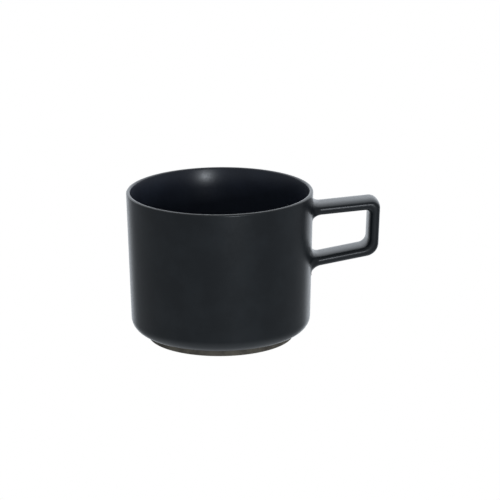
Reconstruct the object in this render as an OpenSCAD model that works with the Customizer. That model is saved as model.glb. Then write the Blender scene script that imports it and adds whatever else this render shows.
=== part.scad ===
// Low straight-sided stoneware mug with a squared loop handle.
// Z is the axis of the cup, Z = 0 the plane it stands on, and the handle points along +X.
// All sizes are in millimetres and are those of the finished, glazed and fired piece.

/* [Cup] */
// Outside diameter across the rim
mouth_d = 85; // [76:0.5:96]
// Height from the table to the top of the rim
height = 68.5; // [66:0.5:90]
// Outside diameter where the wall starts to turn under
lower_d = 82; // [78:0.5:84]
// Thickness of the wall below the lip
wall_t = 3.2; // [2.8:0.1:4]
// Radius of the lip's crest, on the outside of the wall
lip_r = 0.9; // [0.6:0.1:1.2]
// Radius of the long flank from that crest down to the inside of the wall
lip_flank_r = 36; // [24:1:44]
// Thickness of the floor
floor_t = 4; // [3:0.1:6]
// Radius of the outside turn from wall to underside
turn_r = 6.5; // [5:0.5:9]
// Radius of the inside turn from wall to floor
inner_turn_r = 7; // [4:0.5:12]

/* [Foot] */
// Outside diameter of the foot ring
foot_d = 67; // [60:0.5:68]
// Height of the foot ring, and so the gap under the cup
foot_h = 3.3; // [2:0.1:5]
// Width of the foot ring
foot_w = 4; // [3:0.1:8]
// Rounding of the two edges that the ring stands on
foot_edge_r = 0.8; // [0.3:0.1:1.4]

/* [Handle] */
// Furthest reach of the handle from the axis of the cup
handle_reach = 73.6; // [66:0.1:84]
// Height of the upper arm's centre line at the wall
upper_arm_z = 58.5; // [54:0.5:60]
// Height of the lower arm's centre line at the wall
lower_arm_z = 34.2; // [24:0.1:40]
// Upward slope of the upper arm, in degrees
upper_arm_rise = 4; // [0:0.5:8]
// Upward slope of the lower arm, in degrees
lower_arm_rise = 9.5; // [0:0.5:14]
// Outward lean of the upright towards its top, in degrees
grip_lean = 2.4; // [0:0.1:6]
// Thickness of the handle, seen from the side
handle_t = 5.2; // [4.8:0.1:7]
// Width of the handle, across the fingers
handle_w = 13.6; // [13:0.1:14]
// Rounding along the handle's four edges
handle_edge_r = 2.2; // [1:0.1:2.2]
// Radius of the finger hole's upper outer corner
upper_hole_r = 1.8; // [1:0.1:5]
// Radius of the finger hole's lower outer corner
lower_hole_r = 4; // [1:0.1:6]

/* [Slip and glaze] */
// Radius of the slip fillets where the handle is luted to the wall
slip_fillet_r = 3.4; // [3.2:0.1:3.6]
// Thickness of the slip between the handle's ends and the wall
slip_t = 0.6; // [0.3:0.1:1]
// Thickness of the fired glaze
glaze_t = 0.3; // [0.2:0.05:0.4]

/* [Hidden] */
$fn = 180;

// Straight faces run into the rounds of the cup by this much, so that they don't just graze them
run_in = 0.01;
// Lip: a small circle at the crest, inside a large one that makes the flank
lip_c = [mouth_d / 2 - lip_r, height - lip_r];
lip_flank_x = mouth_d / 2 - wall_t + lip_flank_r;
lip_flank_drop = sqrt((lip_flank_r + run_in - lip_r) ^ 2 - (lip_flank_x - lip_c[0]) ^ 2);
lip_flank_c = [lip_flank_x, lip_c[1] - lip_flank_drop];
// Centres of the outside and inside turns, in the [radius, height] plane
turn_c = [lower_d / 2 - turn_r, foot_h + turn_r];
floor_z = foot_h + floor_t;
inner_turn_c = [lower_d / 2 - wall_t - inner_turn_r, floor_z + inner_turn_r];
// Direction that the middle of the outside turn faces
turn_mid_dir = -45;
// Directions square to the outside and inside wall lines, pointing out of the clay
outer_dir = line_angle(turn_c, lip_c) - acos((turn_r - lip_r) / norm(lip_c - turn_c));
inner_dir = line_angle(inner_turn_c, lip_flank_c)
    + acos(-(lip_flank_r + inner_turn_r) / norm(lip_flank_c - inner_turn_c));

// Handle: the two roots of its centre line at the wall, and its two corners, in the XZ plane
upper_root = [wall_radius(upper_arm_z), upper_arm_z];
lower_root = [wall_radius(lower_arm_z), lower_arm_z];
grip_x = handle_reach - handle_t / 2;
upper_corner = [grip_x, upper_arm_z + tan(upper_arm_rise) * (grip_x - upper_root[0])];
lower_corner_z = (lower_arm_z + tan(lower_arm_rise)
        * (grip_x - tan(grip_lean) * upper_corner[1] - lower_root[0]))
    / (1 - tan(lower_arm_rise) * tan(grip_lean));
lower_corner = [grip_x - tan(grip_lean) * (upper_corner[1] - lower_corner_z), lower_corner_z];
// Bends of the centre line: radius, first direction and sweep of each
upper_bend_r = upper_hole_r + handle_t / 2;
upper_bend_from = -grip_lean;
upper_bend_sweep = 90 + upper_arm_rise + grip_lean;
upper_bend_c = bend_centre(upper_corner, upper_bend_r, upper_bend_from, upper_bend_sweep);
lower_bend_r = lower_hole_r + handle_t / 2;
lower_bend_from = lower_arm_rise - 90;
lower_bend_sweep = 90 - lower_arm_rise - grip_lean;
lower_bend_c = bend_centre(lower_corner, lower_bend_r, lower_bend_from, lower_bend_sweep);
// How far the arms run on inside the wall, before the cup is cut away from them
arm_sink = 4;
// The straight runs reach this far into the bends, which stand this much proud of them
lap = 0.1;
bend_proud = 0.02;
// How far up the arm a slip fillet runs before it thins out to nothing
slip_len_share = 0.75;
slip_len = slip_len_share * slip_fillet_r;
// Depth of the fillets' base plane below the wall, which curves away at their sides, and how far
// they run on below that plane
slip_sink = 1.2;
slip_root = 1.5;
// A length past every surface of the mug
far = 2 * height;

// Direction of the line from one point to another
function line_angle(from, to) = atan2(to[1] - from[1], to[0] - from[0]);
// Point at a distance from another, in a direction
function polar(centre, r, dir) = centre + r * [cos(dir), sin(dir)];
// Centre of a bend of radius r that rounds a corner
function bend_centre(corner, r, from, sweep) = polar(corner, -r / cos(sweep / 2), from + sweep / 2);
// Radius at a height of the line that the outside of the wall follows
function wall_radius(z) = lip_c[0] + lip_r / cos(outer_dir) - (lip_c[1] - z) * tan(-outer_dir);

/* ---- Cup profiles, in the [radius, height] plane ---- */

// Everything inside the cup's outer surface up to the centre of the lip, drawn in by inset
module outer_mass_2d(inset) {
    base_z = foot_h + inset;
    past_flank = polar(lip_c, 2 * lip_r, line_angle(lip_flank_c, lip_c));
    polygon([[0, base_z], [turn_c[0], base_z], polar(turn_c, turn_r - inset - run_in, outer_dir),
             polar(lip_c, lip_r - inset - run_in, outer_dir), lip_c, past_flank, [0, past_flank[1]]]);
    translate(turn_c)
        circle(turn_r - inset);
}

// The room inside the cup, drawn in by inset. The flank of the lip stands out of its top corner.
module cavity_2d(inset) {
    base_z = floor_z + inset;
    flank_foot = polar(lip_flank_c, lip_flank_r + inset - run_in, inner_dir);
    wall_end = polar(flank_foot, lip_r, inner_dir - 90);
    polygon([[0, base_z], [inner_turn_c[0], base_z],
             polar(inner_turn_c, inset + run_in - inner_turn_r, inner_dir),
             wall_end, [0, wall_end[1]]]);
    translate(inner_turn_c)
        circle(inner_turn_r - inset);
    difference() {
        translate([0, lip_flank_c[1]])
            square([lip_c[0], far]);
        translate(lip_flank_c)
            circle(lip_flank_r + inset);
    }
}

// Section through one side of the cup, drawn in by inset
module cup_2d(inset) {
    difference() {
        outer_mass_2d(inset);
        cavity_2d(-inset);
    }
    translate(lip_c)
        circle(lip_r - inset);
}

// Skin of glaze on that section, inside and outside
module glaze_skin_2d() {
    difference() {
        cup_2d(0);
        cup_2d(glaze_t);
    }
}

// Everything on the cup's inner side of a line that runs through the middle of the clay
module inner_side_2d() {
    polygon([[0, foot_h + floor_t / 2], [inner_turn_c[0], foot_h + floor_t / 2],
             polar(turn_c, turn_r - wall_t / 2, turn_mid_dir), [lower_d / 2 - wall_t / 2, inner_turn_c[1]],
             lip_c, [lip_c[0], far], [0, far]]);
}

// Solid that fills the cup out to its outer surface, drawn in by inset
module cup_envelope(inset) {
    rotate_extrude()
        outer_mass_2d(inset);
}

/* ---- Handle shapes ---- */

// Section of the handle, thickness along X and width along Y
module arm_section(inset) {
    t = handle_t - 2 * inset;
    w = handle_w - 2 * inset;
    r = handle_edge_r - inset;
    square([t - 2 * r, w], center = true);
    square([t, w - 2 * r], center = true);
    for (x = [-1, 1], y = [-1, 1])
        translate([x * (t / 2 - r), y * (w / 2 - r)])
            circle(r);
}

// Straight run of the handle from one point of the XZ plane to a little past another
module arm(from, to, inset) {
    translate([from[0], 0, from[1]])
        rotate([0, 90 - line_angle(from, to), 0])
            linear_extrude(norm(to - from) + lap)
                arm_section(inset);
}

// Bend of the handle about a point of the XZ plane
module bend(centre, r, from, sweep, inset) {
    translate([centre[0], 0, centre[1]])
        rotate([90, 0, 0])
            rotate([0, 0, from])
                rotate_extrude(angle = sweep)
                    translate([r, 0])
                        arm_section(inset - bend_proud);
}

// The whole loop: upper arm, bend, upright, bend and lower arm, drawn in by inset
module loop(inset) {
    grip_top = polar(upper_bend_c, upper_bend_r, upper_bend_from);
    grip_foot = polar(lower_bend_c, lower_bend_r, upper_bend_from);
    arm(polar(upper_root, -arm_sink, upper_arm_rise),
        polar(upper_bend_c, upper_bend_r, 90 + upper_arm_rise), inset);
    bend(upper_bend_c, upper_bend_r, upper_bend_from, upper_bend_sweep, inset);
    arm(polar(grip_foot, -lap, 90 + upper_bend_from), grip_top, inset);
    bend(lower_bend_c, lower_bend_r, lower_bend_from, lower_bend_sweep, inset);
    arm(polar(lower_root, -arm_sink, lower_arm_rise),
        polar(lower_bend_c, lower_bend_r, lower_bend_from), inset);
}

// Profile of a slip fillet against a straight side that is start from the centre line.
// X runs across the arm, Y along it away from the wall.
module fillet_2d(start, inset) {
    difference() {
        translate([0, -slip_root])
            square([start + slip_fillet_r, slip_len + slip_root]);
        translate([start + slip_fillet_r, slip_fillet_r])
            circle(slip_fillet_r + inset);
    }
}

// Two fillets back to back across the arm, carried along by length
module fillet_run(start, length, inset) {
    rotate([90, 0, 0])
        linear_extrude(length, center = true)
            for (side = [0, 1])
                mirror([side, 0])
                    fillet_2d(start, inset);
}

// Slip that spreads from one arm's root onto the wall: Z along the arm, X across its thickness
module root_flare(inset) {
    flat_t = handle_t - 2 * handle_edge_r;
    flat_w = handle_w - 2 * handle_edge_r;
    fillet_run(handle_t / 2, flat_w, inset);
    rotate([0, 0, 90])
        fillet_run(handle_w / 2, flat_t, inset);
    for (x = [0, 1], y = [0, 1])
        mirror([x, 0, 0])
            mirror([0, y, 0])
                translate([flat_t / 2, flat_w / 2, 0])
                    rotate_extrude(angle = 90)
                        fillet_2d(handle_edge_r, inset);
}

// A root flare in its place on the wall, in line with an arm of that root and slope
module placed_flare(root, rise, inset) {
    translate([root[0] - slip_sink, 0, root[1] - slip_sink * tan(rise)])
        rotate([0, 90 - rise, 0])
            root_flare(inset);
}

// The flares of both arms
module flares(inset) {
    placed_flare(upper_root, upper_arm_rise, inset);
    placed_flare(lower_root, lower_arm_rise, inset);
}

/* ---- Clay, slip and glaze ---- */

// Wall and floor of the cup, in fired stoneware
module cup_body() {
    color("#4a4542")
        rotate_extrude()
            cup_2d(glaze_t);
}

// Ring that the cup stands on, left bare where it meets the table
module foot_ring() {
    top_z = foot_h + glaze_t;
    inner_r = foot_d / 2 - foot_w;
    color("#57514d")
        rotate_extrude() {
            translate([inner_r, foot_edge_r])
                square([foot_w, top_z - foot_edge_r]);
            translate([inner_r + foot_edge_r, 0])
                square([foot_w - 2 * foot_edge_r, top_z]);
            for (x = [foot_edge_r, foot_w - foot_edge_r])
                translate([inner_r + x, foot_edge_r])
                    circle(foot_edge_r);
        }
}

// Cast loop handle, whose two ends stop short of the wall by the slip between them
module handle() {
    color("#4a4542")
        difference() {
            loop(glaze_t);
            cup_envelope(glaze_t - slip_t);
        }
}

// Slip that holds one arm to the wall, and the fillet that it is wiped into
module slip_joint(root, rise) {
    difference() {
        placed_flare(root, rise, glaze_t);
        cup_envelope(glaze_t);
        handle();
    }
}

module upper_slip_joint() {
    color("#5a544f")
        slip_joint(upper_root, upper_arm_rise);
}

module lower_slip_joint() {
    color("#5a544f")
        slip_joint(lower_root, lower_arm_rise);
}

// Glaze on the inside, from the crest of the rim down over the floor
module liner_glaze() {
    color("#20242b")
        rotate_extrude()
            intersection() {
                glaze_skin_2d();
                inner_side_2d();
            }
}

// Glaze on the outside, from the crest of the rim down to the foot ring
module outer_glaze() {
    color("#2a2d30")
        difference() {
            rotate_extrude()
                difference() {
                    glaze_skin_2d();
                    inner_side_2d();
                    square([foot_d / 2, foot_h + floor_t / 2]);
                }
            flares(glaze_t);
        }
}

// Glaze over the handle and its slip fillets
module handle_glaze() {
    color("#2d3034")
        difference() {
            union() {
                loop(0);
                flares(0);
            }
            loop(glaze_t);
            flares(glaze_t);
            cup_envelope(0);
        }
}

// Glaze in the recess under the cup, inside the foot ring
module base_glaze() {
    color("#2a2d30")
        translate([0, 0, foot_h])
            cylinder(h = glaze_t, r = foot_d / 2 - foot_w);
}

cup_body();
foot_ring();
handle();
upper_slip_joint();
lower_slip_joint();
liner_glaze();
outer_glaze();
handle_glaze();
base_glaze();
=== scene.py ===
"""Low stoneware mug with a squared loop handle, glazed in satin charcoal.

The cup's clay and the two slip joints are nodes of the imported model. The glaze coats, the handle's
core and the bare foot ring are modelled here. Lengths are in metres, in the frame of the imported
model: Z is the axis of the cup, Z = 0 the table, and the handle is along +X.
"""

import logging  # noqa: E402
import math  # noqa: E402
from collections.abc import Callable, Mapping, Sequence  # noqa: E402
from dataclasses import dataclass, field  # noqa: E402
from enum import Enum  # noqa: E402
from typing import Any  # noqa: E402

import bmesh  # noqa: E402
import bpy  # noqa: E402
from mathutils import Matrix, Vector  # noqa: E402

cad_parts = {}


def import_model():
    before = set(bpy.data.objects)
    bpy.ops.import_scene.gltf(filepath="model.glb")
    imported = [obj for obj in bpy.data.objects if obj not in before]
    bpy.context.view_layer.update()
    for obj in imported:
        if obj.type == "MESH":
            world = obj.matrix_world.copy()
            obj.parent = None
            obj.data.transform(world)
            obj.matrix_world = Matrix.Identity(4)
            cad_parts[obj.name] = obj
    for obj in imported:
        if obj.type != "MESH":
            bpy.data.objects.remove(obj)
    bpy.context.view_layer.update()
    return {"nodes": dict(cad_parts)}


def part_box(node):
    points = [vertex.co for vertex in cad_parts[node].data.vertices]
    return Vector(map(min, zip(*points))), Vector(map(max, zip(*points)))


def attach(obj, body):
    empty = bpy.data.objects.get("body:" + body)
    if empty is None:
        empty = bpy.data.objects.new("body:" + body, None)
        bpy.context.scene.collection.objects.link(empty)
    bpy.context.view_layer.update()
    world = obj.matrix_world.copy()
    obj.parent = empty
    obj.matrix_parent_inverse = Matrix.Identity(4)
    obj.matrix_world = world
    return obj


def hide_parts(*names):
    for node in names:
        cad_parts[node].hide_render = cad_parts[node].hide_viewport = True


MM = 0.001
ROOT = "root"
TURN_STEPS = 288
ARC_STEP_DEG = 6
LEAST_ARC_STEPS = 12
MERGE_DISTANCE = 0.5e-6
SHARP_DEG = 40.0

log = logging.getLogger("mug")


class Slot(Enum):
    """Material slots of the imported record."""

    STONEWARE = "stoneware"
    BARE_FOOT = "bare_foot"
    LUTING_SLIP = "luting_slip"
    LINER_GLAZE = "liner_glaze"
    CHARCOAL_GLAZE = "charcoal_glaze"


# ---- Nodes and colours -------------------------------------------------------------------------

# Settings of a smooth map range and of a colour mix. The sockets of the mix go by number,
# because their names aren't unique.
SMOOTH = {"interpolation_type": "SMOOTHSTEP", "clamp": True}
SPAN = ("From Min", "From Max", "To Min", "To Max")
COLOURS = {"data_type": "RGBA"}
SHARE, FIRST, SECOND = 0, 6, 7
MIXED = 2

# Share that each octave of a noise keeps of the one before, and the waves in one unit of a wave
# texture at a scale of 1.
NOISE_FINENESS = 0.55
BANDS_PER_UNIT = 3


def linear(hex_colour: str) -> tuple[float, float, float, float]:
    """Turns an sRGB hex colour to a linear one.

    Args:
        hex_colour: Six hex digits after a #.

    Returns:
        Linear red, green and blue, and an alpha of 1.
    """
    parts = [int(hex_colour[i : i + 2], 16) / 255 for i in (1, 3, 5)]
    return (*(p / 12.92 if p <= 0.04045 else ((p + 0.055) / 1.055) ** 2.4 for p in parts), 1.0)


def add_node(
    tree: bpy.types.NodeTree,
    kind: str,
    settings: Mapping[str, Any] | None = None,
    inputs: Mapping[str | int, Any] | None = None,
) -> bpy.types.Node:
    """Adds a node to a tree.

    Args:
        tree: Node tree that gets the node.
        kind: Blender's name for the kind of node.
        settings: Properties of the node.
        inputs: For each input, by name or number, its value or the socket that feeds it.

    Returns:
        The new node.
    """
    node = tree.nodes.new(kind)
    for name, value in (settings or {}).items():
        setattr(node, name, value)
    for key, value in (inputs or {}).items():
        if isinstance(value, bpy.types.NodeSocket):
            tree.links.new(value, node.inputs[key])
        else:
            node.inputs[key].default_value = value
    return node


def new_material(name: str) -> tuple[bpy.types.Material, bpy.types.NodeTree]:
    """Makes an empty node material.

    Args:
        name: Name of the material.

    Returns:
        The material and its node tree.
    """
    material = bpy.data.materials.new(name)
    material.use_nodes = True
    material.node_tree.nodes.clear()
    return material, material.node_tree


def wire_surface(
    tree: bpy.types.NodeTree,
    colour: bpy.types.NodeSocket,
    roughness: float | bpy.types.NodeSocket,
    ior: float,
    layers: Sequence[tuple[bpy.types.NodeSocket, float]],
) -> None:
    """Ends a material: stacks its relief and wires its surface to the output.

    Args:
        tree: Node tree of the material.
        colour: Socket with the colour.
        roughness: Roughness, or the socket that gives it.
        ior: Index of refraction.
        layers: Height socket and depth in millimetres of each layer of relief, coarse ones first.
    """
    relief: dict[str | int, Any] = {}
    for height, depth_mm in layers:
        inputs = {"Height": height, "Distance": depth_mm * MM, "Strength": 1.0, **relief}
        relief = {"Normal": add_node(tree, "ShaderNodeBump", None, inputs).outputs["Normal"]}
    inputs = {"Base Color": colour, "Roughness": roughness, "IOR": ior, **relief}
    shader = add_node(tree, "ShaderNodeBsdfPrincipled", None, inputs)
    add_node(tree, "ShaderNodeOutputMaterial", None, {"Surface": shader.outputs[0]})


# ---- Finishes ----------------------------------------------------------------------------------


@dataclass(frozen=True)
class SatinGlaze:
    """Stoneware glaze, dipped and fired to a satin matt.

    It gives the eye a near-black body, a soft sheen that turns bright where it is seen along the
    surface, and a faint cloudiness. The top of the lip is drawn lighter as a painted highlight.
    Real crystals are too fine to show, so they are drawn coarser.
    """

    name: str
    crest_z: float
    body: str = "#161b1f"
    cloud: str = "#1f2428"
    # Painted highlight: a lighter colour mixed over the top of the lip, in place of the rim's
    # reflection.
    rim_highlight: str = "#4a4743"
    roughness: float = 0.31
    roughness_spread: float = 0.02
    ior: float = 1.5
    rim_highlight_depth: float = 0.8 * MM
    rim_highlight_share: float = 0.4
    cloud_mm: float = 14.0
    cloud_octaves: float = 4.0
    cloud_span: tuple[float, float] = (0.35, 0.7)
    crystal_mm: float = 1.3
    crystal_octaves: float = 2.0
    crystal_span: tuple[float, float] = (0.3, 0.7)
    crystal_relief_mm: float = 0.001
    wobble_mm: float = 9.0
    wobble_octaves: float = 1.0
    wobble_relief_mm: float = 0.025
    pore_mm: float = 3.2
    pore_reach: float = 0.09
    pore_relief_mm: float = 0.004

    def build(self) -> bpy.types.Material:
        """Makes the glaze.

        Returns:
            The glaze as a material.
        """
        material, tree = new_material(self.name)
        place = add_node(tree, "ShaderNodeTexCoord").outputs["Object"]
        height = add_node(tree, "ShaderNodeSeparateXYZ", None, {0: place}).outputs["Z"]
        clouds, crystals, wobble = (
            add_node(
                tree,
                "ShaderNodeTexNoise",
                None,
                {
                    "Vector": place,
                    "Scale": 1 / (size_mm * MM),
                    "Detail": octaves,
                    "Roughness": NOISE_FINENESS,
                },
            ).outputs["Fac"]
            for size_mm, octaves in (
                (self.cloud_mm, self.cloud_octaves),
                (self.crystal_mm, self.crystal_octaves),
                (self.wobble_mm, self.wobble_octaves),
            )
        )
        pores = add_node(
            tree, "ShaderNodeTexVoronoi", None, {"Vector": place, "Scale": 1 / (self.pore_mm * MM)}
        ).outputs["Distance"]
        least, most = (self.roughness + s * self.roughness_spread for s in (-1, 1))
        clouded, rim_highlighted, gloss, pitted = (
            add_node(
                tree,
                "ShaderNodeMapRange",
                SMOOTH,
                {"Value": value, **dict(zip(SPAN, (*span, *result)))},
            ).outputs["Result"]
            for value, span, result in (
                (clouds, self.cloud_span, (0.0, 1.0)),
                # Painted highlight: share of the lighter colour, rising towards the crest of the
                # lip.
                (height, (self.crest_z - self.rim_highlight_depth, self.crest_z), (0.0, self.rim_highlight_share)),
                (crystals, self.crystal_span, (least, most)),
                (pores, (0.0, self.pore_reach), (0.0, 1.0)),
            )
        )
        colour = linear(self.body)
        for share, other in ((clouded, self.cloud), (rim_highlighted, self.rim_highlight)):
            inputs = {SHARE: share, FIRST: colour, SECOND: linear(other)}
            colour = add_node(tree, "ShaderNodeMix", COLOURS, inputs).outputs[MIXED]
        layers = (
            (wobble, self.wobble_relief_mm),
            (crystals, self.crystal_relief_mm),
            (pitted, self.pore_relief_mm),
        )
        wire_surface(tree, colour, gloss, self.ior, layers)
        return material


@dataclass(frozen=True)
class BareStoneware:
    """Iron-bearing stoneware, turned and fired without glaze.

    It gives the eye a dry, dark brown surface with grog in it and rings from the turning. Real
    grog is finer, and is drawn as coarse as it needs to show.
    """

    name: str
    body: str = "#706a5e"
    toasted: str = "#524d45"
    grog: str = "#8b8074"
    roughness: float = 0.78
    ior: float = 1.5
    toast_mm: float = 7.0
    toast_octaves: float = 4.0
    toast_span: tuple[float, float] = (0.35, 0.65)
    grog_mm: float = 0.9
    grog_octaves: float = 3.0
    grog_span: tuple[float, float] = (0.6, 0.72)
    grog_share: float = 0.7
    grog_relief_mm: float = 0.06
    ring_mm: float = 0.6
    ring_distortion: float = 1.5
    ring_relief_mm: float = 0.02

    def build(self) -> bpy.types.Material:
        """Makes the fired clay.

        Returns:
            The clay as a material.
        """
        material, tree = new_material(self.name)
        place = add_node(tree, "ShaderNodeTexCoord").outputs["Object"]
        toast, grain = (
            add_node(
                tree,
                "ShaderNodeTexNoise",
                None,
                {
                    "Vector": place,
                    "Scale": 1 / (size_mm * MM),
                    "Detail": octaves,
                    "Roughness": NOISE_FINENESS,
                },
            ).outputs["Fac"]
            for size_mm, octaves in (
                (self.toast_mm, self.toast_octaves),
                (self.grog_mm, self.grog_octaves),
            )
        )
        rings = add_node(
            tree,
            "ShaderNodeTexWave",
            {"wave_type": "BANDS", "bands_direction": "Z"},
            {
                "Vector": place,
                "Scale": 1 / (self.ring_mm * MM) / BANDS_PER_UNIT,
                "Distortion": self.ring_distortion,
            },
        ).outputs["Fac"]
        browned, speckled = (
            add_node(
                tree,
                "ShaderNodeMapRange",
                SMOOTH,
                {"Value": value, **dict(zip(SPAN, (*span, 0.0, most)))},
            ).outputs["Result"]
            for value, span, most in (
                (toast, self.toast_span, 1.0),
                (grain, self.grog_span, self.grog_share),
            )
        )
        colour = linear(self.body)
        for share, other in ((browned, self.toasted), (speckled, self.grog)):
            inputs = {SHARE: share, FIRST: colour, SECOND: linear(other)}
            colour = add_node(tree, "ShaderNodeMix", COLOURS, inputs).outputs[MIXED]
        layers = ((rings, self.ring_relief_mm), (grain, self.grog_relief_mm))
        wire_surface(tree, colour, self.roughness, self.ior, layers)
        return material


# ---- Turned pieces -----------------------------------------------------------------------------


@dataclass
class Profile:
    """Outline of a turned piece, in the plane of radius and height."""

    points: list[Vector] = field(default_factory=list)

    def to(self, radius: float, height: float) -> "Profile":
        """Runs straight to a radius and height."""
        self.points.append(Vector((radius, height)))
        return self

    def arc(self, centre: Vector, radius: float, start: float, end: float) -> "Profile":
        """Runs straight to an arc and along it.

        Args:
            centre: Centre of the arc.
            radius: Radius of the arc.
            start: Direction of its first point from the centre, in degrees.
            end: Direction of its last point.

        Returns:
            This profile.
        """
        steps = max(LEAST_ARC_STEPS, round(abs(end - start) / ARC_STEP_DEG))
        for i in range(steps + 1):
            angle = math.radians(start + (end - start) * i / steps)
            self.points.append(centre + radius * Vector((math.cos(angle), math.sin(angle))))
        return self

    def back_along(self, other: "Profile") -> "Profile":
        """Returns along another profile, from its end to its start."""
        self.points.extend(reversed(other.points))
        return self


def finish_mesh(name: str, bm: bmesh.types.BMesh) -> bpy.types.Object:
    """Makes an object of a mesh, smooth but for its real edges.

    Args:
        name: Name of the piece.
        bm: Mesh, which is freed.

    Returns:
        The object, linked to the scene.
    """
    for face in bm.faces:
        face.smooth = True
    for edge in bm.edges:
        edge.smooth = edge.calc_face_angle(0.0) < math.radians(SHARP_DEG)
    mesh = bpy.data.meshes.new(name)
    bm.to_mesh(mesh)
    bm.free()
    piece = bpy.data.objects.new(name, mesh)
    bpy.context.scene.collection.objects.link(piece)
    return piece


def turned(name: str, profile: Profile) -> bpy.types.Object:
    """Turns a closed profile about the axis of the cup.

    Args:
        name: Name of the piece.
        profile: Outline of the piece, closed from its last point to its first.

    Returns:
        The turned piece.
    """
    bm = bmesh.new()
    verts = [bm.verts.new((p.x, 0.0, p.y)) for p in profile.points]
    pairs = zip(verts, verts[1:] + verts[:1])
    edges = [
        bm.edges.new(pair) for pair in pairs if max(v.co.x for v in pair) > MERGE_DISTANCE
    ]
    bmesh.ops.spin(
        bm,
        geom=verts + edges,
        cent=(0, 0, 0),
        axis=(0, 0, 1),
        dvec=(0, 0, 0),
        angle=math.tau,
        steps=TURN_STEPS,
        use_merge=True,
        use_duplicate=False,
    )
    bmesh.ops.remove_doubles(bm, verts=bm.verts, dist=MERGE_DISTANCE)
    bmesh.ops.recalc_face_normals(bm, faces=bm.faces)
    return finish_mesh(name, bm)


def dress(
    piece: bpy.types.Object, node: str, material: bpy.types.Material
) -> None:
    """Gives a piece its material and its body, and hides the node of the imported model that it
    stands for.

    Args:
        piece: New piece.
        node: CAD node that it stands for.
        material: Its finish.
    """
    piece.data.materials.append(material)
    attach(piece, ROOT)
    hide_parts(node)


def square_to(
    first: Vector, first_radius: float, second: Vector, second_radius: float, side: int
) -> float:
    """Finds the line that runs along two circles.

    Args:
        first: Centre of the first circle.
        first_radius: Its radius, below 0 if the line touches it at its far side.
        second: Centre of the second circle.
        second_radius: Its radius, likewise.
        side: 1 for the line on the left of the way from first to second, -1 for the right.

    Returns:
        Direction from the second centre to the point where the line touches, in degrees.
    """
    way = second - first
    turn = math.acos((first_radius - second_radius) / way.length)
    return math.degrees(math.atan2(way.y, way.x) + side * turn)


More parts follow.
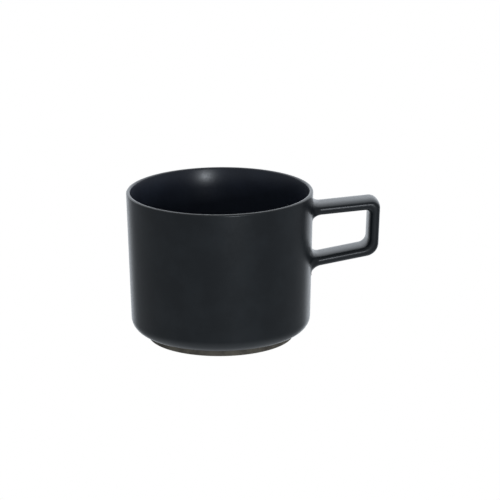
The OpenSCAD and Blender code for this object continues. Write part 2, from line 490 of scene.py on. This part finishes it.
@dataclass
class Cup:
    """Cup: its outer glaze, its liner glaze, the glaze under its floor and its foot ring."""

    lower_radius: float = 41 * MM
    wall: float = 3.2 * MM
    lip_radius: float = 0.9 * MM
    flank_radius: float = 36 * MM
    turn_radius: float = 6.5 * MM
    inner_turn_radius: float = 7 * MM
    foot_width: float = 4 * MM
    foot_edge: float = 0.8 * MM
    glaze: float = 0.3 * MM

    def __post_init__(self) -> None:
        """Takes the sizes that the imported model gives."""
        outer_low, outer_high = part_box("outer_glaze")
        self.mouth_radius = outer_high.y
        self.height = outer_high.z
        self.underside = outer_low.z
        self.foot_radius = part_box("foot_ring")[1].y
        self.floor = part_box("liner_glaze")[0].z + self.glaze
        self.lip_centre = Vector(
            (self.mouth_radius - self.lip_radius, self.height - self.lip_radius)
        )
        flank_x = self.mouth_radius - self.wall + self.flank_radius
        drop = math.sqrt(
            (self.flank_radius - self.lip_radius) ** 2 - (flank_x - self.lip_centre.x) ** 2
        )
        self.flank_centre = Vector((flank_x, self.lip_centre.y - drop))
        self.turn_centre = Vector(
            (self.lower_radius - self.turn_radius, self.underside + self.turn_radius)
        )
        self.inner_centre = Vector(
            (
                self.lower_radius - self.wall - self.inner_turn_radius,
                self.floor + self.inner_turn_radius,
            )
        )
        self.outward_deg = square_to(
            self.turn_centre, self.turn_radius, self.lip_centre, self.lip_radius, -1
        )
        self.inward_deg = square_to(
            self.inner_centre, -self.inner_turn_radius, self.flank_centre, self.flank_radius, 1
        )

    def wall_radius(self, height: float) -> float:
        """Finds how wide the wall is.

        Args:
            height: Height above the table.

        Returns:
            Outside radius of the wall there.
        """
        outward = math.radians(self.outward_deg)
        crest = self.lip_centre.x + self.lip_radius / math.cos(outward)
        return crest + (self.lip_centre.y - height) * math.tan(outward)

    def outside(self, inset: float) -> Profile:
        """Outlines the outside from the crest of the lip to the foot.

        Args:
            inset: How far the outline is drawn in.

        Returns:
            The outline.
        """
        return (
            Profile()
            .arc(self.lip_centre, self.lip_radius - inset, 90, self.outward_deg)
            .arc(self.turn_centre, self.turn_radius - inset, self.outward_deg, -90)
            .to(self.foot_radius - self.foot_width / 2, self.underside + inset)
        )

    def inside(self, inset: float) -> Profile:
        """Outlines the inside from the crest of the lip to the axis.

        Args:
            inset: How far the outline is drawn into the clay.

        Returns:
            The outline.
        """
        over = self.lip_centre - self.flank_centre
        over_deg = math.degrees(math.atan2(over.y, over.x))
        return (
            Profile()
            .arc(self.lip_centre, self.lip_radius - inset, 90, over_deg)
            .arc(self.flank_centre, self.flank_radius - inset, over_deg, self.inward_deg)
            .arc(self.inner_centre, self.inner_turn_radius + inset, self.inward_deg - 180, -90)
            .to(0, self.floor - inset)
        )

    def build_outer_glaze(self) -> bpy.types.Object:
        """Returns the glaze on the outside."""
        profile = self.outside(0).back_along(self.outside(self.glaze))
        return turned("outer_glaze_coat", profile)

    def build_liner_glaze(self) -> bpy.types.Object:
        """Returns the glaze on the inside."""
        profile = self.inside(0).back_along(self.inside(self.glaze))
        return turned("liner_glaze_coat", profile)

    def build_base_glaze(self) -> bpy.types.Object:
        """Builds the glaze in the recess inside the foot ring.

        Returns:
            The glaze.
        """
        reach = self.foot_radius - self.foot_width
        profile = (
            Profile()
            .to(0, self.underside)
            .to(reach, self.underside)
            .to(reach, self.underside + self.glaze)
            .to(0, self.underside + self.glaze)
        )
        return turned("base_glaze_coat", profile)

    def build_foot_ring(self) -> bpy.types.Object:
        """Builds the ring that the cup stands on.

        Returns:
            The ring.
        """
        edge = self.foot_edge
        outer = self.foot_radius
        inner = outer - self.foot_width
        top = self.underside + self.glaze
        profile = (
            Profile()
            .to(outer, top)
            .arc(Vector((outer - edge, edge)), edge, 0, -90)
            .arc(Vector((inner + edge, edge)), edge, -90, -180)
            .to(inner, top)
        )
        return turned("foot_ring_turned", profile)

    def build(self) -> list[bpy.types.Object]:
        """Builds and dresses the cup's pieces.

        Returns:
            The pieces.
        """
        glaze = SatinGlaze("Charcoal stoneware glaze, dipped, satin", crest_z=self.height).build()
        # Painted light: the liner is drawn lighter and bluer than the outer glaze, standing in for
        # the light that falls inside the cup.
        liner = SatinGlaze(
            "Liner stoneware glaze, poured, satin",
            body="#292d37",
            cloud="#2f343f",
            crest_z=self.height,
        ).build()
        clay = BareStoneware("Dark stoneware, turned, unglazed").build()
        rows = (
            (self.build_outer_glaze(), "outer_glaze", Slot.CHARCOAL_GLAZE, glaze),
            (self.build_liner_glaze(), "liner_glaze", Slot.LINER_GLAZE, liner),
            (self.build_base_glaze(), "base_glaze", Slot.CHARCOAL_GLAZE, glaze),
            (self.build_foot_ring(), "foot_ring", Slot.BARE_FOOT, clay),
        )
        for piece, node, slot, material in rows:
            dress(piece, node, material)
        return [row[0] for row in rows]


# ---- Handle ------------------------------------------------------------------------------------


@dataclass(frozen=True)
class Line:
    """Straight line in the XZ plane."""

    point: Vector
    direction: Vector

    @property
    def left(self) -> Vector:
        """Direction square to the line, a quarter turn anticlockwise from it."""
        return Vector((-self.direction.y, self.direction.x))

    def offset(self, distance: float) -> "Line":
        """Returns the parallel line that lies a distance to the left."""
        return Line(self.point + distance * self.left, self.direction)

    def meet(self, other: "Line") -> Vector:
        """Finds where two lines cross.

        Args:
            other: The other line.

        Returns:
            The crossing.
        """
        across = self.direction.cross(other.direction)
        along = (other.point - self.point).cross(other.direction) / across
        return self.point + along * self.direction


@dataclass(frozen=True)
class Corner:
    """Rounded corner between two lines, both followed in the handle's own order."""

    first: Line
    second: Line
    radius: float

    @property
    def centre(self) -> Vector:
        """Centre of the rounding, to the right of both lines."""
        return self.first.offset(-self.radius).meet(self.second.offset(-self.radius))

    def at(self, share: float) -> Vector:
        """Finds a point of the rounding.

        Args:
            share: Share of the rounding's sweep.

        Returns:
            The point.
        """
        start = self.first.left
        end = self.second.left
        sweep = start.angle_signed(end)
        turned_by = Matrix.Rotation(-sweep * share, 2)
        return self.centre + self.radius * (turned_by @ start)


@dataclass(frozen=True)
class Root:
    """Root of one arm, with the reach of its fillet outside the loop and in the finger hole."""

    line: Line
    outer_reach: float
    hole_reach: float


@dataclass(frozen=True)
class Station:
    """Place of one section along the handle."""

    hole_side: Vector
    outer_side: Vector


@dataclass
class Handle:
    """Loop handle: its core, and one glaze coat over the arms, the upright and the fillets.

    Each pair of reaches is a fillet's reach outside the loop and in the finger hole. The skirt is
    how far a fillet runs on into the wall, and the slip is the gap between core and wall.
    """

    cup: Cup
    upper_arm_z: float = 58.5 * MM
    lower_arm_z: float = 34.2 * MM
    upper_rise_deg: float = 4.0
    lower_rise_deg: float = 9.5
    grip_lean_deg: float = 2.4
    thickness: float = 5.26 * MM
    width: float = 14.0 * MM
    crown: float = 2.9
    upper_outer_radius: float = 4.2 * MM
    upper_hole_radius: float = 1.8 * MM
    lower_outer_radius: float = 6.4 * MM
    lower_hole_radius: float = 4.0 * MM
    upper_reaches: tuple[float, float] = (3.6 * MM, 2.6 * MM)
    lower_reaches: tuple[float, float] = (3.2 * MM, 4.4 * MM)
    fillet_side_reach: float = 4.0 * MM
    fillet_height: float = 4.2 * MM
    skirt: float = 0.25 * MM
    slip: float = 0.3 * MM
    segments: int = 72
    bend_steps: int = 14
    fillet_steps: int = 12
    root_passes: int = 6

    def __post_init__(self) -> None:
        """Lays out the centre lines of the two arms and the upright."""
        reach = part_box("handle_glaze")[1].x
        upper = math.radians(self.upper_rise_deg)
        lower = math.radians(self.lower_rise_deg)
        lean = math.radians(self.grip_lean_deg)
        self.upper_root = Vector((self.cup.wall_radius(self.upper_arm_z), self.upper_arm_z))
        self.lower_root = Vector((self.cup.wall_radius(self.lower_arm_z), self.lower_arm_z))
        self.upper_line = Line(self.upper_root, Vector((math.cos(upper), math.sin(upper))))
        self.lower_line = Line(self.lower_root, Vector((-math.cos(lower), -math.sin(lower))))
        self.roots = (
            Root(self.upper_line, *self.upper_reaches),
            Root(self.lower_line, *self.lower_reaches),
        )
        grip_top = Vector((reach - self.thickness / 2, 0.0))
        grip_top.y = self.upper_root.y + math.tan(upper) * (grip_top.x - self.upper_root.x)
        self.grip_line = Line(grip_top, Vector((-math.sin(lean), -math.cos(lean))))

    def outline(self, index: int) -> tuple[Vector, Vector]:
        """Gives one point of the section, which is crowned on all four faces.

        Args:
            index: Number of the point round the section.

        Returns:
            The point across thickness and width, and the direction square to the outline.
        """
        turn = math.tau * (index + 0.5) / self.segments
        half = (self.thickness / 2, self.width / 2)
        unit = (math.cos(turn), math.sin(turn))
        point = Vector(
            [h * math.copysign(abs(u) ** (2 / self.crown), u) for h, u in zip(half, unit)]
        )
        normal = Vector(
            [math.copysign(abs(p / h) ** (self.crown - 1) / h, p) for p, h in zip(point, half)]
        )
        return point, normal.normalized()

    def stations(self) -> list[Station]:
        """Lays the sections from the end of the upper fillet round to the lower one.

        Returns:
            The sections in order.
        """
        half = self.thickness / 2
        bends = (
            (self.upper_line, self.grip_line, self.upper_outer_radius, self.upper_hole_radius),
            (self.grip_line, self.lower_line, self.lower_outer_radius, self.lower_hole_radius),
        )
        found: list[Station] = []
        steps = self.bend_steps
        for first, second, outer_radius, hole_radius in bends:
            outer = Corner(first.offset(half), second.offset(half), outer_radius)
            hole = Corner(first.offset(-half), second.offset(-half), hole_radius)
            found += [Station(hole.at(i / steps), outer.at(i / steps)) for i in range(steps + 1)]
        return found

    def place_section(
        self, ring: Sequence[bmesh.types.BMVert], station: Station, inset: float
    ) -> None:
        """Moves a ring of vertices to a section of the loop.

        Args:
            ring: Vertices in the order of the outline.
            station: Where the section is.
            inset: How far the section is drawn in.
        """
        middle = (station.hole_side + station.outer_side) / 2
        across = (station.outer_side - station.hole_side) / self.thickness
        for i, vert in enumerate(ring):
            point, normal = self.outline(i)
            point -= normal * inset
            flat = middle + across * point.x
            vert.co = (flat.x, point.y, flat.y)

    def place_root(
        self,
        ring: Sequence[bmesh.types.BMVert],
        root: Root,
        spread_share: float,
        rise: float,
        inset: float,
    ) -> None:
        """Moves a ring of vertices to a section of an arm's root, at one height off the wall.

        Args:
            ring: Vertices in the order of the outline.
            root: Root of the arm.
            spread_share: Share of the fillet's reach by which the section has grown.
            rise: Height off the wall.
            inset: How far the section is drawn in.
        """
        for i, vert in enumerate(ring):
            point, normal = self.outline(i)
            reach = root.outer_reach if normal.x > 0 else root.hole_reach
            reach += (self.fillet_side_reach - reach) * normal.y**2
            grown = point + normal * (reach * spread_share - inset)
            base = root.line.point + root.line.left * grown.x
            along = 0.0
            for _ in range(self.root_passes):
                place = base + along * root.line.direction
                wall = self.cup.wall_radius(place.y) + rise
                target = math.sqrt(wall**2 - grown.y**2)
                along += (target - place.x) / root.line.direction.x
            place = base + along * root.line.direction
            vert.co = (place.x, grown.y, place.y)

    def fillet_sections(self) -> list[tuple[float, float]]:
        """Lays the sections of a fillet.

        Returns:
            Spread share and height of each section, from the wall outwards.
        """
        steps = self.fillet_steps
        found = [(1 + self.skirt / self.fillet_side_reach, -self.skirt)]
        for i in range(steps + 1):
            angle = math.pi / 2 * i / steps
            found.append((1 - math.sin(angle), self.fillet_height * (1 - math.cos(angle))))
        return found

    def build_loop(
        self, name: str, flare: Sequence[tuple[float, float]], inset: float
    ) -> bpy.types.Object:
        """Builds the loop, closed at both ends.

        Args:
            name: Name of the piece.
            flare: Spread share and height of each section at a root, from the wall outwards.
            inset: How far the whole loop is drawn in.

        Returns:
            The loop.
        """
        placings: list[Callable[[Sequence[bmesh.types.BMVert]], None]] = []
        upper, lower = self.roots
        for share, rise in flare:
            placings.append(lambda r, s=share, h=rise: self.place_root(r, upper, s, h, inset))
        for station in self.stations():
            placings.append(lambda r, s=station: self.place_section(r, s, inset))
        for share, rise in reversed(flare):
            placings.append(lambda r, s=share, h=rise: self.place_root(r, lower, s, h, inset))

        bm = bmesh.new()
        ring = list(
            bmesh.ops.create_circle(bm, segments=self.segments, radius=self.width / 2)["verts"]
        )
        first = ring
        placings[0](ring)
        for place in placings[1:]:
            ring = next_ring(bm, ring)
            place(ring)
        for end in (first, ring):
            bmesh.ops.contextual_create(bm, geom=ring_edges(bm, end))
        bmesh.ops.recalc_face_normals(bm, faces=bm.faces)
        return finish_mesh(name, bm)

    def build(self) -> list[bpy.types.Object]:
        """Builds and dresses the handle's pieces.

        Returns:
            The pieces.
        """
        coat = self.build_loop("handle_glaze_coat", self.fillet_sections(), 0.0)
        core = self.build_loop("handle_core", [(0.0, self.slip)], self.cup.glaze)
        glaze = SatinGlaze(
            "Charcoal stoneware glaze on the handle, dipped, satin", crest_z=self.cup.height
        )
        clay = BareStoneware("Dark stoneware handle, cast, under the glaze")
        dress(coat, "handle_glaze", glaze.build())
        dress(core, "handle", clay.build())
        return [coat, core]


def ring_edges(
    bm: bmesh.types.BMesh, ring: Sequence[bmesh.types.BMVert]
) -> list[bmesh.types.BMEdge]:
    """Returns the edges that join a ring of vertices in order."""
    return [bm.edges.get((ring[i - 1], ring[i])) for i in range(len(ring))]


def next_ring(
    bm: bmesh.types.BMesh, ring: Sequence[bmesh.types.BMVert]
) -> list[bmesh.types.BMVert]:
    """Extrudes a ring of edges.

    Args:
        bm: Mesh that holds the ring.
        ring: Vertices of the ring in order.

    Returns:
        The new ring, in the same order.
    """
    made = bmesh.ops.extrude_edge_only(bm, edges=ring_edges(bm, ring))["geom"]
    fresh = {item for item in made if isinstance(item, bmesh.types.BMVert)}
    found = []
    for vert in ring:
        ends = (edge.other_vert(vert) for edge in vert.link_edges)
        found.append(next(end for end in ends if end in fresh))
    return found


# ---- Studio ------------------------------------------------------------------------------------


def from_front(azimuth_deg: float, elevation_deg: float) -> Vector:
    """Finds a direction by its bearing.

    Args:
        azimuth_deg: Bearing from the front of the mug, towards +X.
        elevation_deg: Height above the horizon.

    Returns:
        Direction away from the mug.
    """
    azimuth, elevation = math.radians(azimuth_deg), math.radians(elevation_deg)
    flat = math.cos(elevation)
    return Vector((math.sin(azimuth) * flat, -math.cos(azimuth) * flat, math.sin(elevation)))


def tipped(first: Vector, second: Vector, angle_deg: float) -> tuple[Vector, Vector]:
    """Turns two square directions in their own plane, the first towards the second.

    Args:
        first: First direction.
        second: Second direction.
        angle_deg: Angle of the turn.

    Returns:
        Both directions after the turn.
    """
    cosine, sine = math.cos(math.radians(angle_deg)), math.sin(math.radians(angle_deg))
    return first * cosine + second * sine, second * cosine - first * sine


@dataclass(frozen=True)
class Panel:
    """Round bright patch of the light tent, soft at its edge.

    Its bearing is from the back of the scene towards +X. Its edge gives the cosines, from the
    patch's middle, of the directions where it is dark and where it is fully bright.
    """

    bearing_deg: float
    tilt_deg: float
    edge: tuple[float, float]
    radiance: float

    def level(
        self, tree: bpy.types.NodeTree, direction: bpy.types.NodeSocket
    ) -> bpy.types.NodeSocket:
        """Gives the radiance of the patch.

        Args:
            tree: Node tree of the world.
            direction: Socket with the direction that is looked in.

        Returns:
            Socket with the radiance.
        """
        bearing, tilt = math.radians(self.bearing_deg), math.radians(self.tilt_deg)
        flat = math.cos(tilt)
        middle = (math.sin(bearing) * flat, math.cos(bearing) * flat, math.sin(tilt))
        nearness = add_node(
            tree, "ShaderNodeVectorMath", {"operation": "DOT_PRODUCT"}, {0: direction, 1: middle}
        ).outputs["Value"]
        inputs = {"Value": nearness, **dict(zip(SPAN, (*self.edge, 0.0, self.radiance)))}
        return add_node(tree, "ShaderNodeMapRange", SMOOTH, inputs).outputs["Result"]


@dataclass(frozen=True)
class Softbox:
    """Square softbox, whose bearing is from the front of the mug towards +X."""

    azimuth_deg: float
    elevation_deg: float
    distance: float
    size: float
    watts: float

    def hang(self, name: str, target: Vector, tint: tuple[float, float, float]) -> None:
        """Hangs the softbox.

        Args:
            name: Name of the light.
            target: Point that it faces.
            tint: Linear colour of the light.
        """
        light = bpy.data.lights.new(name, "AREA")
        light.shape = "SQUARE"
        light.size = self.size
        light.energy = self.watts
        light.color = tint
        back = from_front(self.azimuth_deg, self.elevation_deg)
        facing = back.to_track_quat("Z", "Y").to_matrix().to_4x4()
        lamp = bpy.data.objects.new(name, light)
        lamp.matrix_world = Matrix.Translation(target + back * self.distance) @ facing
        lamp.visible_camera = False
        bpy.context.scene.collection.objects.link(lamp)


@dataclass
class Studio:
    """White floor, soft light and camera.

    The camera sees plain white all round. The mug sees a light tent: two panels, the room and its
    ceiling, and the table. The spans are heights of the direction that is looked in, from -1
    straight down to 1 straight up, over which room turns to ceiling and table to nothing.
    """

    target: Vector = field(default_factory=lambda: Vector((0.0, 0.0, 34.25 * MM)))
    distance: float = 1.40014
    azimuth_deg: float = -6.0
    elevation_deg: float = 16.384
    yaw_deg: float = 0.557
    pitch_deg: float = 0.23
    roll_deg: float = -0.559
    lens_mm: float = 220.54
    sensor_mm: float = 36.0
    clip: tuple[float, float] = (0.01, 100.0)
    tint: tuple[float, float, float] = (0.94, 1.0, 1.07)
    backdrop: Panel = Panel(bearing_deg=9.0, tilt_deg=0.0, edge=(0.62, 0.95), radiance=1.5)
    canopy: Panel = Panel(bearing_deg=9.0, tilt_deg=36.0, edge=(0.46, 0.76), radiance=1.4)
    key: Softbox = Softbox(azimuth_deg=12.6, elevation_deg=8.0, distance=1.5, size=0.25, watts=4.5)
    room: float = 0.28
    ceiling: float = 0.2
    ceiling_span: tuple[float, float] = (0.55, 0.9)
    table: float = 0.6
    table_span: tuple[float, float] = (-0.9, -0.3)
    paper: float = 1.0
    floor_size: float = 8.0

    def build_world(self) -> None:
        """Lights the scene from all round, brightest behind the mug."""
        world = bpy.data.worlds.new("light_tent")
        bpy.context.scene.world = world
        world.use_nodes = True
        tree = world.node_tree
        tree.nodes.clear()
        direction = add_node(tree, "ShaderNodeTexCoord").outputs["Generated"]
        height = add_node(tree, "ShaderNodeSeparateXYZ", None, {0: direction}).outputs["Z"]
        levels = [panel.level(tree, direction) for panel in (self.backdrop, self.canopy)]
        for span, result in (
            (self.ceiling_span, (self.room, self.ceiling)),
            (self.table_span, (self.table, 0.0)),
        ):
            inputs = {"Value": height, **dict(zip(SPAN, (*span, *result)))}
            levels.append(add_node(tree, "ShaderNodeMapRange", SMOOTH, inputs).outputs["Result"])
        level = levels[0]
        for other in levels[1:]:
            level = add_node(
                tree, "ShaderNodeMath", {"operation": "MAXIMUM"}, {0: level, 1: other}
            ).outputs[0]
        tent = add_node(
            tree, "ShaderNodeBackground", None, {"Color": (*self.tint, 1.0), "Strength": level}
        )
        paper = add_node(
            tree,
            "ShaderNodeBackground",
            None,
            {"Color": (1.0, 1.0, 1.0, 1.0), "Strength": self.paper},
        )
        seen = add_node(tree, "ShaderNodeLightPath").outputs["Is Camera Ray"]
        mixed = add_node(
            tree, "ShaderNodeMixShader", None, {0: seen, 1: tent.outputs[0], 2: paper.outputs[0]}
        )
        add_node(tree, "ShaderNodeOutputWorld", None, {"Surface": mixed.outputs[0]})

    def build_floor(self) -> None:
        """Lays a plain white floor, which is clear from below."""
        bm = bmesh.new()
        bmesh.ops.create_grid(bm, x_segments=1, y_segments=1, size=self.floor_size / 2)
        floor = finish_mesh("floor", bm)
        material, tree = new_material("White paper, matt")
        below = add_node(tree, "ShaderNodeNewGeometry").outputs["Backfacing"]
        paper = add_node(tree, "ShaderNodeEmission", None, {"Strength": self.paper})
        clear = add_node(tree, "ShaderNodeBsdfTransparent")
        mixed = add_node(
            tree, "ShaderNodeMixShader", None, {0: below, 1: paper.outputs[0], 2: clear.outputs[0]}
        )
        add_node(tree, "ShaderNodeOutputMaterial", None, {"Surface": mixed.outputs[0]})
        floor.data.materials.append(material)
        floor.visible_diffuse = False
        floor.visible_glossy = False
        floor.visible_shadow = False

    def build_camera(self) -> None:
        """Sets the camera at its bearing, and aims it by three small turns."""
        azimuth = math.radians(self.azimuth_deg)
        forward = -from_front(self.azimuth_deg, self.elevation_deg)
        right = Vector((math.cos(azimuth), math.sin(azimuth), 0.0))
        up = right.cross(forward)
        eye = self.target - self.distance * forward
        forward, right = tipped(forward, right, self.yaw_deg)
        forward, up = tipped(forward, up, self.pitch_deg)
        right, up = tipped(right, up, self.roll_deg)
        camera = bpy.data.cameras.new("camera")
        camera.sensor_width = self.sensor_mm
        camera.lens = self.lens_mm
        camera.clip_start, camera.clip_end = self.clip
        holder = bpy.data.objects.new("camera", camera)
        turn = Matrix((right, up, -forward)).transposed().to_4x4()
        holder.matrix_world = Matrix.Translation(eye) @ turn
        bpy.context.scene.collection.objects.link(holder)
        bpy.context.scene.camera = holder

    def build(self) -> None:
        """Builds the whole studio."""
        self.build_world()
        self.build_floor()
        self.key.hang("key_softbox", self.target, self.tint)
        self.build_camera()
        view = bpy.context.scene.view_settings
        view.view_transform = "Standard"
        view.look = "None"


# ---- Whole mug ---------------------------------------------------------------------------------


@dataclass
class PackedClay:
    """Clay of the cup and slip of the joints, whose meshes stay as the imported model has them."""

    nodes: Mapping[str, bpy.types.Object]

    def build(self) -> list[bpy.types.Object]:
        """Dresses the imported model's own nodes.

        Returns:
            The dressed nodes.
        """
        clay = BareStoneware("Dark stoneware, cast, under the glaze").build()
        slip = BareStoneware(
            "Luting slip, wiped and fired", body="#5f5851", toasted="#57514b", grog_mm=0.4
        ).build()
        rows = (
            ("cup_body", clay),
            ("upper_slip_joint", slip),
            ("lower_slip_joint", slip),
        )
        for name, material in rows:
            self.nodes[name].data.materials.clear()
            self.nodes[name].data.materials.append(material)
        return [self.nodes[name] for name, _ in rows]


def main() -> None:
    """Builds the mug and its studio."""
    logging.basicConfig(level=logging.INFO, format="%(name)s: %(message)s")
    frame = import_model()
    cup = Cup()
    pieces = [*PackedClay(frame["nodes"]).build(), *cup.build(), *Handle(cup).build()]
    for piece in pieces:
        log.info("%s: %d faces", piece.name, len(piece.data.polygons))
    Studio().build()


if __name__ == "__main__":
    main()
